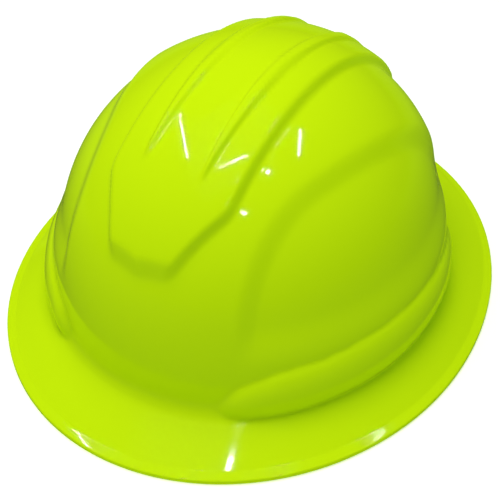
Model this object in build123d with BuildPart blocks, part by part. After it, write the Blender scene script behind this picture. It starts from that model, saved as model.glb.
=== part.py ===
from build123d import *
from math import atan2, cos, degrees, exp, hypot, log, pi, radians, sin, sqrt
import os

os.makedirs("parts", exist_ok=True)

# Full brim hard hat, in millimetres. The front of the hat looks along -Y, +Z is up, and the rim of the
# brim stands on the plane Z = 0 round the origin. The wearer's left is +X. Plans are measured from the
# crown's middle, which lies a little ahead of the middle of the brim.

# Brim
brim_length = 324.0
brim_width = 275.0
rim_width = 6.5
rim_thickness = 3.2
rim_chamfer = 0.9
crease_inset = 5.0
crease_height = 4.6
brim_wall = 2.8
# Hollow foot of the crown: how far it runs out over the brim, and where it starts and ends
foot_run = 9.0
foot_height = 15.6
foot_top_height = 32.0
foot_power = 2.9

# Crown
crown_length = 242.0
crown_width = 220.0
crown_height = 156.0
crown_base_height = 19.0
crown_plan_power = 1.8
crown_height_power = 2.7
crown_forward = 6.0
shell_wall = 2.6
# Heights of the sections of its wall, outside and inside, and how steep it stands at those of its vault
outer_wall_heights = (15.6, 18.0, 21.0, 25.0, 29.0, 33.0, 38.0, 43.0, 46.5, 50.0, 55.0, 61.0)
inner_wall_heights = (18.0, 24.0, 32.0, 42.0, 51.0, 61.0)
outer_vault_angles = (74.0, 70.0, 66.0, 62.0, 58.0, 54.0, 50.0, 46.0, 42.0, 37.0, 32.0, 26.0, 19.0, 12.0, 5.0)
inner_vault_angles = (73.0, 67.0, 60.0, 53.0, 46.0, 39.0, 31.0, 22.0, 12.0, 4.0)
outer_skin_count = 104
inner_skin_count = 48
# Sections have more points towards the front and the back, where the band ends
skin_crowding = 0.28

# Raised band over the crown, with its shield-shaped front end
band_rise = 4.0
band_width = 69.0
band_edge = 6.0
band_kink_forward = 77.0
band_front_width = 31.0
band_front_forward = 106.0
band_back = 100.0
band_end_edge = 5.0

# Lower side panels
panel_drop = 3.2
panel_edge = 12.0
panel_top_fade = 62.0
panel_fade_height = 24.0
# Half widths of the upper field as shares of the crown's, and how far ahead of its middle each one lies
field_half_width_shares = (0.60, 0.53, 0.50, 0.51, 0.54, 0.60, 0.66, 0.70, 0.70, 0.66)
field_forward_shares = (1.0, 0.86, 0.70, 0.56, 0.42, 0.24, 0.0, -0.30, -0.60, -0.90)

# Swelling at the foot of each side
pod_height = 29.0
pod_bulge = 5.5
pod_foot_height = 18.5
pod_power = 0.62
pod_blend = 0.6
# Along each side: angles round the crown, with the height and bulge there as shares
pod_angles = (-66.0, -61.0, -52.0, -35.0, -5.0, 20.0, 36.0, 48.0)
pod_height_shares = (0.20, 0.62, 0.92, 1.0, 1.0, 0.84, 0.58, 0.20)
pod_bulge_shares = (0.0, 0.62, 1.0, 1.0, 0.95, 0.80, 0.50, 0.0)

# Pockets for the keys, inside the shell
pocket_foot_height = 33.0
pocket_height = 17.0
pocket_wall = 2.0
pocket_back_wall = 1.6
pocket_root = 0.5
key_clearance = 0.25

# Keys
blade_width = 26.0
blade_thickness = 2.8
arm_thickness = 3.0
arm_height = 28.0
bar_width = 3.0
bar_slot = 2.4
bar_slot_length = 19.0
# How far the bar stands in from the shell: front, side and rear keys
bar_distances = (10.8, 12.6, 12.6)
stud_plate_width = 13.0
stud_plate_thickness = 2.2
stud_plate_top_height = 49.0
stud_plate_gap = 0.4
stud_height = 44.0
stud_diameter = 5.6
stud_head_diameter = 9.0
stud_head_thickness = 1.6
stud_clearance = 0.3

# Crown straps
strap_width = 17.0
strap_thickness = 1.2
strap_crown_height = 118.0
strap_stack_gap = 1.3
strap_loop_gap = 0.15
strap_sewn_height = 17.0

# Headband
band_thickness = 2.0
# Room between the headband and the crown's inner skin: beside, ahead of and behind the head
headband_side_room = 26.9
headband_front_room = 6.9
headband_back_room = 40.4
headband_half_width = crown_width / 2 - shell_wall - band_thickness - headband_side_room
headband_front_reach = crown_length / 2 - shell_wall - band_thickness - headband_front_room
headband_back_reach = crown_length / 2 - shell_wall - band_thickness - headband_back_room
headband_foot_height = 6.0
headband_height = 28.0
headband_end_room = 20.0
headband_end_back = headband_back_reach - crown_forward - headband_end_room
# Where the ears hang, as angles round the headband: front, side and rear
station_angles = (-42.0, 0.0, 38.0)
ear_width = 18.0
ear_top_margin = 3.0
height_travel = 10.0

# Soft pads
pad_thickness = 4.4
pad_gap = 0.3
brow_pad_back = -12.0
brow_pad_margin = 1.5

# Tails and ratchet
tail_thickness = 1.6
tail_height = 14.0
tail_centre_height = 19.5
tail_gap = 0.3
tail_front = 16.0
button_angle = 20.0
button_diameter = 4.0
button_head_diameter = 8.0
button_head_thickness = 1.2
button_clearance = 0.1
gear_module = 0.8
gear_teeth = 10
gear_clearance = 0.2
# Widths of the teeth at tip and root, as shares of the pitch
gear_tip_share = 0.22
gear_root_share = 0.56
rack_tip_share = 0.26
rack_root_share = 0.62
rack_teeth_out = 9
rack_teeth_in = 2
casing_half_width = 31.0
casing_height = 21.0
casing_wall = 1.6
casing_clearance = 0.2
cover_thickness = 2.4
boss_diameter = 34.0
boss_rise = 1.4
click_recess_diameter = 23.6
click_recess_depth = 2.4
click_teeth = 24
click_tooth_depth = 0.9
disc_thickness = 1.4
disc_hub_diameter = 12.0
pawl_count = 3
pawl_width = 2.4
# Angles by which each pawl's root, tip and end trail behind its start
pawl_root_lag = 30.0
pawl_tip_lag = 50.0
pawl_end_lag = 58.0
disc_end_gap = 0.3
shaft_diameter = 5.6
shaft_clearance = 0.08
pivot_diameter = 4.0
knob_diameter = 34.0
knob_depth = 8.4
knob_gap = 0.3
knob_grips = 14
knob_grip_diameter = 3.6
knob_dish_diameter = 22.0
knob_dish_depth = 2.2
screw_diameter = 2.4
screw_head_diameter = 6.0
screw_head_height = 2.0
screw_length = 9.0
screw_slot_width = 1.0
screw_slot_depth = 0.9
fit_gap = 0.05


def smooth_step(share):
    """Rises from 0 to 1 with level ends as share goes from 0 to 1."""
    share = min(1, max(0, share))
    return share * share * (3 - 2 * share)


def along(value, stops, levels):
    """The level at value, on straight lines between the stops."""
    if value <= stops[0]:
        return levels[0]
    for low, high, start, end in zip(stops, stops[1:], levels, levels[1:]):
        if value <= high:
            return start + (end - start) * (value - low) / (high - low)
    return levels[-1]


def band_mask(x, forward, inset):
    """1 on the raised band and 0 off it: its half width narrows from the kink to the shield's foot."""
    narrowing = (band_width - band_front_width) / 2 / (band_front_forward - band_kink_forward)
    half = band_width / 2 - max(0, forward - band_kink_forward) * narrowing - inset
    side = smooth_step((half + band_edge / 2 - abs(x)) / band_edge)
    front = smooth_step((band_front_forward - inset + band_end_edge / 2 - forward) / band_end_edge)
    back = smooth_step((band_back - inset + band_end_edge / 2 + forward) / band_end_edge)
    return side * front * back


def panel_mask(x, forward, height, inset):
    """1 on the lower side panels, fading out towards the foot of the crown."""
    forward_share = forward / (crown_length / 2)
    stops = [-share for share in field_forward_shares]
    half = along(-forward_share, stops, field_half_width_shares) * crown_width / 2 - inset
    side = smooth_step((abs(x) - half + panel_edge / 2) / panel_edge)
    return side * smooth_step((height - panel_top_fade + panel_fade_height / 2) / panel_fade_height)


def pod_swell(x, forward, height):
    """Half-round swelling along each side, with its foot on the brim and its ends drawn in."""
    angle = degrees(atan2(-forward / (crown_length / 2), abs(x) / (crown_width / 2)))
    half_height = along(angle, pod_angles, pod_height_shares) * pod_height / 2
    bulge = along(angle, pod_angles, pod_bulge_shares) * pod_bulge
    offset = (height - pod_foot_height - half_height) / half_height
    return bulge * max(0, 1 - offset * offset) ** pod_power


def crown_point(angle, height, grow):
    """A point of the crown's skin at a height: radius and rise to their powers add up to one. The band
    and the side panels move it in or out, and outside so do the pods and the hollow foot, whichever
    reaches further."""
    rise = max(0, (height - crown_base_height) / (crown_height - crown_base_height))
    radius = (1 - rise**crown_height_power) ** (1 / crown_plan_power)
    x = crown_width / 2 * radius * cos(angle)
    forward = -crown_length / 2 * radius * sin(angle)
    out = grow + band_rise * band_mask(x, forward, -grow)
    out -= panel_drop * panel_mask(x, forward, height, -grow)
    foot_share = (foot_top_height - height) / (foot_top_height - foot_height)
    run = foot_run * max(0, foot_share) ** foot_power
    pod = pod_swell(x, forward, height) if grow == 0 else 0
    run = pod_blend * log(exp(run / pod_blend) + exp(pod / pod_blend) - 1)
    return (
        (crown_width / 2 + out + run) * radius * cos(angle),
        (crown_length / 2 + out + run) * radius * sin(angle) - crown_forward,
        height + out * rise,
    )


def rim_point(angle, inset, height):
    """A point of the brim's outline, two half ellipses that meet beside the crown's middle."""
    reach = brim_length / 2 - crown_forward if sin(angle) < 0 else brim_length / 2 + crown_forward
    return (
        (brim_width / 2 - inset) * cos(angle),
        (reach - inset) * sin(angle) - crown_forward,
        height,
    )


def under_point(angle):
    """A point under the crown's foot, where the underside of the brim ends."""
    x, y, height = crown_point(angle, foot_height, -brim_wall / 2)
    return (x, y, foot_height - brim_wall)


def skin_section(count, point, *values):
    """A closed smooth line round the hat through a number of the points that the function gives."""
    turns = [2 * pi * step / count for step in range(count)]
    angles = [turn + skin_crowding * sin(2 * turn) for turn in turns]
    return Wire([Edge.make_spline([Vector(*point(angle, *values)) for angle in angles], periodic=True)])


def skin(sections, ruled=False):
    """The faces of a loft through the sections, without its end caps."""
    solid = Solid.make_loft(sections, ruled)
    return [face for face in solid.faces() if face.geom_type != GeomType.PLANE]


# Shell: outer skin, rim, and inner skin, closed into one solid
rim_foot = skin_section(outer_skin_count, rim_point, rim_chamfer, 0)
rim_low = skin_section(outer_skin_count, rim_point, 0, rim_chamfer)
rim_high = skin_section(outer_skin_count, rim_point, 0, rim_thickness - rim_chamfer)
rim_top = skin_section(outer_skin_count, rim_point, rim_chamfer, rim_thickness)
crease = skin_section(outer_skin_count, rim_point, crease_inset, crease_height)
hollow_foot = skin_section(inner_skin_count, rim_point, rim_width, 0)
under_foot = skin_section(inner_skin_count, under_point)


def crown_sections(count, wall_heights, vault_angles, grow):
    """The sections of the crown's wall, and those of its vault with the point at its top."""
    wall = [skin_section(count, crown_point, height, grow) for height in wall_heights]
    vault = [wall[-1]]
    for angle in vault_angles:
        rise = cos(radians(angle)) ** (2 / crown_height_power)
        height = crown_base_height + (crown_height - crown_base_height) * rise
        vault.append(skin_section(count, crown_point, height, grow))
    vault.append(Vertex(0, -crown_forward, crown_height + band_rise + grow))
    return wall, vault


outer_wall, outer_vault = crown_sections(outer_skin_count, outer_wall_heights, outer_vault_angles, 0)
inner_wall, inner_vault = crown_sections(
    inner_skin_count, inner_wall_heights, inner_vault_angles, -shell_wall
)
shell_faces = skin([rim_foot, rim_low, rim_high, rim_top], ruled=True)
shell_faces += skin([rim_top, crease, outer_wall[0]], ruled=True)
for sections in (outer_wall, outer_vault, [under_foot] + inner_wall, inner_vault):
    shell_faces += skin(sections, ruled=True)
shell_faces += skin([hollow_foot, under_foot], ruled=True)
shell_faces.append(Face(rim_foot, [hollow_foot]))
plain_shell = Solid(Shell(shell_faces))


def ellipse_normal(x, forward, half_width, half_length):
    """Direction square to an ellipse at one of its points, as an angle from +X towards +Y."""
    return degrees(atan2(-forward / half_length**2, x / half_width**2))


def upright_plane(x, y, angle, height=0):
    """A level plane with its X axis pointing out at the angle."""
    turn = radians(angle)
    return Plane(origin=(x, y, height), x_dir=(cos(turn), sin(turn), 0), z_dir=(0, 0, 1))


def find_station(angle, side):
    """Where one ear hangs, and where its key meets the shell: the square line from the headband out
    to the inner skin of the crown."""
    reach = (headband_front_reach if angle < 0 else headband_back_reach) + band_thickness
    half = headband_half_width + band_thickness
    x = side * half * cos(radians(angle))
    forward = -reach * sin(radians(angle))
    normal = ellipse_normal(x, forward, half, reach)
    inner_half = crown_width / 2 - shell_wall
    inner_reach = crown_length / 2 - shell_wall
    dx = cos(radians(normal)) / inner_half
    dy = sin(radians(normal)) / inner_reach
    px = x / inner_half
    py = -forward / inner_reach
    a = dx * dx + dy * dy
    b = px * dx + py * dy
    c = px * px + py * py - 1
    run = (sqrt(b * b - a * c) - b) / a
    wall_x = x + run * cos(radians(normal))
    wall_forward = forward - run * sin(radians(normal))
    return {
        "ear": upright_plane(x, -crown_forward - forward, normal),
        "wall": upright_plane(
            wall_x,
            -crown_forward - wall_forward,
            ellipse_normal(wall_x, wall_forward, inner_half, inner_reach),
        ),
    }


stations = {}
for place, station_angle, bar_distance in zip(("front", "side", "rear"), station_angles, bar_distances):
    for hand, side in (("_left", 1), ("_right", -1)):
        stations[place + hand] = find_station(station_angle, side)
        stations[place + hand]["bar_x"] = -bar_distance

slot_near = -pocket_back_wall - blade_thickness - 2 * key_clearance
pocket_near = slot_near - pocket_wall
slot_height = pocket_height - pocket_wall


def raised(plane, height):
    """The same plane at another height."""
    return Plane(origin=(plane.origin.X, plane.origin.Y, height), x_dir=plane.x_dir, z_dir=plane.z_dir)


def pocket(station):
    """A box on the inner skin with a slot that is open below."""
    with BuildPart() as box:
        with BuildSketch(raised(station["wall"], pocket_foot_height)):
            with Locations(((pocket_root + pocket_near) / 2, 0)):
                Rectangle(pocket_root - pocket_near, blade_width + 2 * key_clearance + 2 * pocket_wall)
        extrude(amount=pocket_height)
        with BuildSketch(raised(station["wall"], pocket_foot_height)):
            with Locations(((slot_near - pocket_back_wall) / 2, 0)):
                Rectangle(-pocket_back_wall - slot_near, blade_width + 2 * key_clearance)
        extrude(amount=slot_height, mode=Mode.SUBTRACT)
    return box.part


with BuildPart() as shell:
    add(plain_shell)
    add([pocket(station) for station in stations.values()])
shell.part.label = "shell"
export_step(shell.part, "parts/shell.step")


# Where each crown strap runs: the keys at its two ends, and how high it lies in the stack
def plan_point(plane, x, y):
    """World plan position of a point given in a level plane."""
    point = plane.from_local_coords((x, y, 0))
    return (point.X, point.Y)


strap_ends = {
    "crown_strap_side": ("side_left", "side_right"),
    "crown_strap_left_front": ("front_left", "rear_right"),
    "crown_strap_right_front": ("front_right", "rear_left"),
}
bar_points = {
    name: plan_point(station["wall"], station["bar_x"], 0) for name, station in stations.items()
}
strap_frames = {}
bar_angles = {}
for strap_name, (first, second) in strap_ends.items():
    (ax, ay), (bx, by) = bar_points[first], bar_points[second]
    strap_turn = degrees(atan2(ay - by, ax - bx))
    bar_angles[first] = strap_turn
    bar_angles[second] = strap_turn + 180
    strap_frames[strap_name] = ((ax + bx) / 2, (ay + by) / 2, strap_turn, hypot(ax - bx, ay - by) / 2)

# Keys
loop_inner_radius = hypot(bar_width, arm_thickness) / 2 + strap_loop_gap
bar_middle_height = arm_height + arm_thickness / 2
stud_plate_near = stud_plate_gap
stud_plate_far = stud_plate_gap + stud_plate_thickness
blade_far = -pocket_back_wall - key_clearance
blade_near = blade_far - blade_thickness
blade_top = pocket_foot_height + slot_height - key_clearance


def make_key(name, station):
    """Blade in the pocket, arm with two strap slots, and an upright plate with the headband's stud."""
    wall = station["wall"]
    ear = station["ear"]
    corners = [
        plan_point(wall, blade_far, blade_width / 2),
        plan_point(wall, blade_far, -blade_width / 2),
        plan_point(ear, stud_plate_near, -blade_width / 2),
        plan_point(ear, stud_plate_near, blade_width / 2),
    ]
    bar_plane = upright_plane(*bar_points[name], bar_angles[name], arm_height)
    with BuildPart() as key:
        with BuildSketch(Plane.XY.offset(arm_height)):
            with BuildLine():
                Polyline(*corners, close=True)
            make_face()
        extrude(amount=arm_thickness)
        with BuildSketch(bar_plane):
            with Locations(((bar_width + bar_slot) / 2, 0), (-(bar_width + bar_slot) / 2, 0)):
                Rectangle(bar_slot, bar_slot_length)
        extrude(amount=arm_thickness, mode=Mode.SUBTRACT)
        with BuildSketch(raised(wall, arm_height)):
            with Locations(((blade_far + blade_near) / 2, 0)):
                Rectangle(blade_thickness, blade_width)
        extrude(amount=blade_top - arm_height)
        with BuildSketch(raised(ear, arm_height)):
            with Locations(((stud_plate_near + stud_plate_far) / 2, 0)):
                Rectangle(stud_plate_thickness, stud_plate_width)
        extrude(amount=stud_plate_top_height - arm_height)
        stud_origin = ear.from_local_coords((stud_plate_near, 0, stud_height))
        stud_plane = Plane(origin=stud_origin, x_dir=(0, 0, 1), z_dir=-ear.x_dir)
        with BuildSketch(stud_plane):
            Circle(stud_diameter / 2)
        extrude(amount=stud_plate_gap + band_thickness + stud_plate_gap)
        with BuildSketch(stud_plane.offset(stud_plate_gap + band_thickness + stud_plate_gap)):
            Circle(stud_head_diameter / 2)
        extrude(amount=stud_head_thickness)
    key.part.label = "key_" + name
    export_step(key.part, "parts/key_" + name + ".step")


for station_name, key_station in stations.items():
    make_key(station_name, key_station)


# Crown straps: half an ellipse over the head, with an end sewn back round the bar of each key
def make_crown_strap(name, frame, layer):
    """One woven strap, drawn in the upright plane of its two bars."""
    middle_x, middle_y, turn, half_span = frame
    direction = Vector(cos(radians(turn)), sin(radians(turn)), 0)
    plane = Plane(
        origin=(middle_x, middle_y, bar_middle_height),
        x_dir=direction,
        z_dir=direction.cross(Vector(0, 0, 1)),
    )
    rise = strap_crown_height - bar_middle_height + layer * (strap_thickness + strap_stack_gap)
    inner_half = half_span + loop_inner_radius
    loop_outer = loop_inner_radius + strap_thickness
    drawn_in = inner_half * sqrt(1 - (strap_sewn_height / rise) ** 2)
    with BuildPart() as strap:
        with BuildSketch(plane):
            with BuildLine():
                EllipticalCenterArc((0, 0), inner_half, rise, arc_size=180)
                Line((-inner_half, 0), (-inner_half - strap_thickness, 0))
                EllipticalCenterArc(
                    (0, 0), inner_half + strap_thickness, rise + strap_thickness, arc_size=180
                )
                Line((inner_half, 0), (inner_half + strap_thickness, 0))
            make_face()
            for side in (1, -1):
                with BuildLine():
                    CenterArc((side * half_span, 0), loop_outer, 180, 180)
                    CenterArc((side * half_span, 0), loop_inner_radius, 180, 180)
                    Line((side * half_span - loop_outer, 0), (side * half_span - loop_inner_radius, 0))
                    Line((side * half_span + loop_inner_radius, 0), (side * half_span + loop_outer, 0))
                make_face()
                with BuildLine():
                    Polyline(
                        (side * (half_span - loop_outer), 0),
                        (side * (half_span - loop_inner_radius), 0),
                        (side * (drawn_in + strap_thickness / 2), strap_sewn_height - strap_thickness),
                        (side * (drawn_in + strap_thickness / 2), strap_sewn_height + strap_thickness),
                        close=True,
                    )
                make_face()
        extrude(amount=strap_width / 2, both=True)
    strap.part.label = name
    export_step(strap.part, "parts/" + name + ".step")


for strap_layer, (strap_name, strap_frame) in enumerate(strap_frames.items()):
    make_crown_strap(strap_name, strap_frame, strap_layer)


def oval(out, back_out=0):
    """Plan of the headband grown by out, with an extra reach at the back: two half ellipses."""
    half = headband_half_width + out
    with BuildSketch() as outline:
        with BuildLine():
            EllipticalCenterArc((0, -crown_forward), half, headband_front_reach + out, 180, arc_size=180)
            EllipticalCenterArc(
                (0, -crown_forward), half, headband_back_reach + out + back_out, arc_size=180
            )
        make_face()
    return outline.sketch


def band_ring(low, high, foot, height, back_out=0):
    """An upright wall that follows the headband's oval, between two offsets from its inner face."""
    with BuildPart() as ring:
        with BuildSketch(Plane.XY.offset(foot)):
            add(oval(high, back_out))
            add(oval(low, back_out), mode=Mode.SUBTRACT)
        extrude(amount=height)
    return ring.part


def plan_block(x_min, x_max, y_min, y_max, foot, height):
    """A plain upright block between plan limits."""
    with BuildPart() as block:
        with BuildSketch(Plane.XY.offset(foot)):
            with Locations(((x_min + x_max) / 2, (y_min + y_max) / 2)):
                Rectangle(x_max - x_min, y_max - y_min)
        extrude(amount=height)
    return block.part


def rod(plane, diameter, length):
    """A round pin that stands on the plane."""
    with BuildPart() as pin:
        with BuildSketch(plane):
            Circle(diameter / 2)
        extrude(amount=length)
    return pin.part


far = brim_length
headband_top = headband_foot_height + headband_height
ear_slot_foot = stud_height - stud_diameter / 2 - stud_clearance
ear_slot_top = stud_height + height_travel + stud_diameter / 2 + stud_clearance
ear_top = ear_slot_top + ear_top_margin


def button_plane(side, out):
    """A plane square to the headband where a tail is buttoned on, facing out, at a distance from the
    headband's inner face."""
    x = side * headband_half_width * cos(radians(button_angle))
    forward = -headband_back_reach * sin(radians(button_angle))
    normal = radians(ellipse_normal(x, forward, headband_half_width, headband_back_reach))
    face = Plane(
        origin=(x, -crown_forward - forward, tail_centre_height),
        x_dir=(0, 0, 1),
        z_dir=(cos(normal), sin(normal), 0),
    )
    return face.offset(out)


def button_hole(side):
    """The hole for a button's shank, from inside the headband outwards."""
    return rod(button_plane(side, -band_thickness), button_diameter + 2 * button_clearance, far)


# Headband, with six slotted ears along its top edge
def ear_block(station):
    """The block round one ear, from inside the headband's wall to outside it."""
    with BuildPart() as block:
        with BuildSketch(raised(station["ear"], headband_top - ear_top_margin)):
            Rectangle(ear_width, ear_width)
        extrude(amount=ear_top - headband_top + ear_top_margin)
    return block.part


def ear_slot(station):
    """The upright slot in which an ear slides on its stud."""
    with BuildPart() as slot:
        plane = raised(station["ear"], ear_slot_foot)
        with BuildSketch(plane):
            Rectangle(ear_width, stud_diameter + 2 * stud_clearance)
        extrude(amount=ear_slot_top - ear_slot_foot)
    return slot.part


with BuildPart() as ears:
    add(band_ring(0, band_thickness, headband_foot_height, ear_top - headband_foot_height))
    add([ear_block(station) for station in stations.values()], mode=Mode.INTERSECT)

with BuildPart() as headband:
    add(band_ring(0, band_thickness, headband_foot_height, headband_height))
    add(plan_block(-far, far, headband_end_back, far, 0, headband_top), mode=Mode.SUBTRACT)
    add(ears.part)
    add([ear_slot(station) for station in stations.values()], mode=Mode.SUBTRACT)
    for side in (1, -1):
        add(button_hole(side), mode=Mode.SUBTRACT)
headband.part.label = "headband"
export_step(headband.part, "parts/headband.step")

# Brow pad, along the front of the headband
with BuildPart() as brow_pad:
    add(
        band_ring(
            -pad_gap - pad_thickness,
            -pad_gap,
            headband_foot_height + brow_pad_margin,
            headband_height - 2 * brow_pad_margin,
        )
    )
    add(plan_block(-far, far, brow_pad_back, far, 0, headband_top), mode=Mode.SUBTRACT)
brow_pad.part.label = "brow_pad"
export_step(brow_pad.part, "parts/brow_pad.step")

# Tails: the left one runs inside the right one through the ratchet's casing
left_tail_low = band_thickness + button_clearance
left_tail_high = left_tail_low + tail_thickness
tail_step = tail_thickness + tail_gap
tail_foot = tail_centre_height - tail_height / 2
pitch = pi * gear_module
pitch_radius = gear_module * gear_teeth / 2
gear_outer_radius = pitch_radius + gear_module
gear_root_radius = pitch_radius - gear_module - gear_clearance
rack_root_height = pitch_radius + gear_module + gear_clearance
rack_tip_height = pitch_radius - gear_module + gear_clearance / 2
tooth_tip = pitch * rack_tip_share
tooth_root = pitch * rack_root_share


def rack_cut(side):
    """The toothed opening in one tail, as seen from behind: teeth above on the left tail, below on
    the right one."""
    out_end = side * (gear_outer_radius + gear_clearance)
    in_end = -side * (rack_teeth_out * pitch + gear_outer_radius)
    with BuildSketch(Plane.XZ.offset(-crown_forward)) as slot:
        with Locations(((out_end + in_end) / 2, tail_centre_height)):
            Rectangle(abs(out_end - in_end), 2 * rack_root_height)
        for tooth in range(-rack_teeth_in + 1, rack_teeth_out + 1):
            middle = -side * tooth * pitch
            with BuildLine():
                Polyline(
                    (middle - tooth_root / 2, tail_centre_height + side * rack_root_height),
                    (middle - tooth_tip / 2, tail_centre_height + side * rack_tip_height),
                    (middle + tooth_tip / 2, tail_centre_height + side * rack_tip_height),
                    (middle + tooth_root / 2, tail_centre_height + side * rack_root_height),
                    close=True,
                )
            make_face(mode=Mode.SUBTRACT)
    with BuildPart() as cut:
        extrude(slot.sketch, amount=-far)
    return cut.part


def make_tail(name, side, back_out):
    """One toothed tail, buttoned to the headband and run round the back into the casing."""
    end = -side * (rack_teeth_out * pitch + gear_outer_radius + casing_wall * 2)
    x_min, x_max = (end, far) if side > 0 else (-far, end)
    with BuildPart() as tail:
        add(band_ring(left_tail_low, left_tail_high, tail_foot, tail_height, back_out))
        add(plan_block(x_min, x_max, tail_front, far, 0, headband_top), mode=Mode.INTERSECT)
        add(rack_cut(side), mode=Mode.SUBTRACT)
        add(button_hole(side), mode=Mode.SUBTRACT)
    tail.part.label = name
    export_step(tail.part, "parts/" + name + ".step")


make_tail("rack_strap_left", 1, 0)
make_tail("rack_strap_right", -1, tail_step)

# Buttons that hold the tails on the headband
with BuildPart() as strap_buttons:
    inner_head = -tail_gap - button_head_thickness
    outer_head = left_tail_high + 2 * tail_gap
    for side in (1, -1):
        add(rod(button_plane(side, inner_head), button_head_diameter, button_head_thickness))
        add(rod(button_plane(side, outer_head), button_head_diameter, button_head_thickness))
        add(rod(button_plane(side, inner_head), button_diameter, outer_head - inner_head))
strap_buttons.part.label = "strap_buttons"
export_step(strap_buttons.part, "parts/strap_buttons.step")

# Ratchet casing at the nape: layers measured out from the inner face of the headband
right_tail_high = left_tail_high + tail_step
channel_low = left_tail_low - casing_clearance
channel_high = right_tail_high + casing_clearance
casing_low = channel_low - casing_wall
cover_high = channel_high + fit_gap + cover_thickness
casing_foot = tail_centre_height - casing_height / 2
back_y = headband_back_reach - crown_forward
boss_y = back_y + cover_high + boss_rise


def back_plane(y):
    """An upright plane square to the shaft, facing back, with its centre on the shaft."""
    return Plane(origin=(0, y, tail_centre_height), x_dir=(-1, 0, 0), z_dir=(0, 1, 0))


casing_block = plan_block(
    -casing_half_width, casing_half_width, 0, far, casing_foot, casing_height
)
channel_height = casing_height - 2 * casing_wall

with BuildPart() as nape_housing:
    add(band_ring(casing_low, channel_high, casing_foot, casing_height))
    add(casing_block, mode=Mode.INTERSECT)
    add(
        band_ring(channel_low, channel_high + casing_wall, casing_foot + casing_wall, channel_height),
        mode=Mode.SUBTRACT,
    )
    add(
        rod(back_plane(0), pivot_diameter + 2 * shaft_clearance, back_y + channel_low + casing_wall / 2),
        mode=Mode.SUBTRACT,
    )
nape_housing.part.label = "nape_housing"
export_step(nape_housing.part, "parts/nape_housing.step")

# Cover, with the flat boss and the toothed recess behind the knob
with BuildPart() as cover_outside:
    add(rod(back_plane(back_y), boss_diameter, boss_y - back_y))
    add(band_ring(0, channel_high + fit_gap, 0, headband_top + boss_diameter), mode=Mode.SUBTRACT)

recess_radius = click_recess_diameter / 2
with BuildPart() as click_recess:
    with BuildSketch(back_plane(boss_y - click_recess_depth)):
        Circle(recess_radius)
        with PolarLocations(recess_radius, click_teeth):
            RegularPolygon(click_tooth_depth, 3, rotation=180, mode=Mode.SUBTRACT)
    extrude(amount=click_recess_depth)

with BuildPart() as nape_cover:
    add(band_ring(channel_high + fit_gap, cover_high, casing_foot, casing_height))
    add(casing_block, mode=Mode.INTERSECT)
    add(cover_outside.part)
    add(click_recess.part, mode=Mode.SUBTRACT)
    add(rod(back_plane(0), shaft_diameter + 2 * shaft_clearance, far), mode=Mode.SUBTRACT)
nape_cover.part.label = "nape_cover"
export_step(nape_cover.part, "parts/nape_cover.step")

# Pinion with its shaft: a front pivot in the housing, teeth between the racks, and a screw hole behind
pinion_y = back_y + channel_low + disc_end_gap / 2
pinion_length = channel_high - channel_low - disc_end_gap
disc_y = boss_y - click_recess_depth + disc_end_gap
knob_y = boss_y + knob_gap
pivot_length = casing_wall / 2
tooth_angle = 360 / gear_teeth

with BuildPart() as pinion:
    with BuildSketch(back_plane(pinion_y)):
        Circle(gear_root_radius)
        for tooth in range(gear_teeth):
            turn = tooth * tooth_angle
            outline = [
                (gear_root_radius * cos(radians(turn + share * tooth_angle)),
                 gear_root_radius * sin(radians(turn + share * tooth_angle)))
                for share in (-gear_root_share / 2, gear_root_share / 2)
            ] + [
                (gear_outer_radius * cos(radians(turn + share * tooth_angle)),
                 gear_outer_radius * sin(radians(turn + share * tooth_angle)))
                for share in (gear_tip_share / 2, -gear_tip_share / 2)
            ]
            with BuildLine():
                Polyline(*outline, close=True)
            make_face()
    extrude(amount=pinion_length)
    add(rod(back_plane(pinion_y - pivot_length), pivot_diameter, pivot_length))
    add(rod(back_plane(pinion_y), shaft_diameter, knob_y + knob_depth / 2 - pinion_y))
    add(rod(back_plane(pinion_y + pinion_length), screw_diameter, far), mode=Mode.SUBTRACT)
pinion.part.label = "pinion"
export_step(pinion.part, "parts/pinion.step")

# Click disc with its sprung pawls
pawl_reach = recess_radius - click_tooth_depth - disc_end_gap
disc_hub_radius = disc_hub_diameter / 2
with BuildPart() as ratchet_disc:
    with BuildSketch(back_plane(disc_y)):
        Circle(disc_hub_radius)
        for pawl in range(pawl_count):
            turn = 360 * pawl / pawl_count
            with BuildLine():
                Polyline(
                    *[
                        (radius * cos(radians(turn + lag)), radius * sin(radians(turn + lag)))
                        for radius, lag in (
                            (disc_hub_radius - pawl_width, 0),
                            (disc_hub_radius + pawl_width / 2, 0),
                            (pawl_reach, pawl_tip_lag),
                            (pawl_reach, pawl_end_lag),
                            (disc_hub_radius + pawl_width / 4, pawl_root_lag),
                        )
                    ],
                    close=True,
                )
            make_face()
        Circle(shaft_diameter / 2 + fit_gap, mode=Mode.SUBTRACT)
    extrude(amount=disc_thickness)
ratchet_disc.part.label = "ratchet_disc"
export_step(ratchet_disc.part, "parts/ratchet_disc.step")

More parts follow.
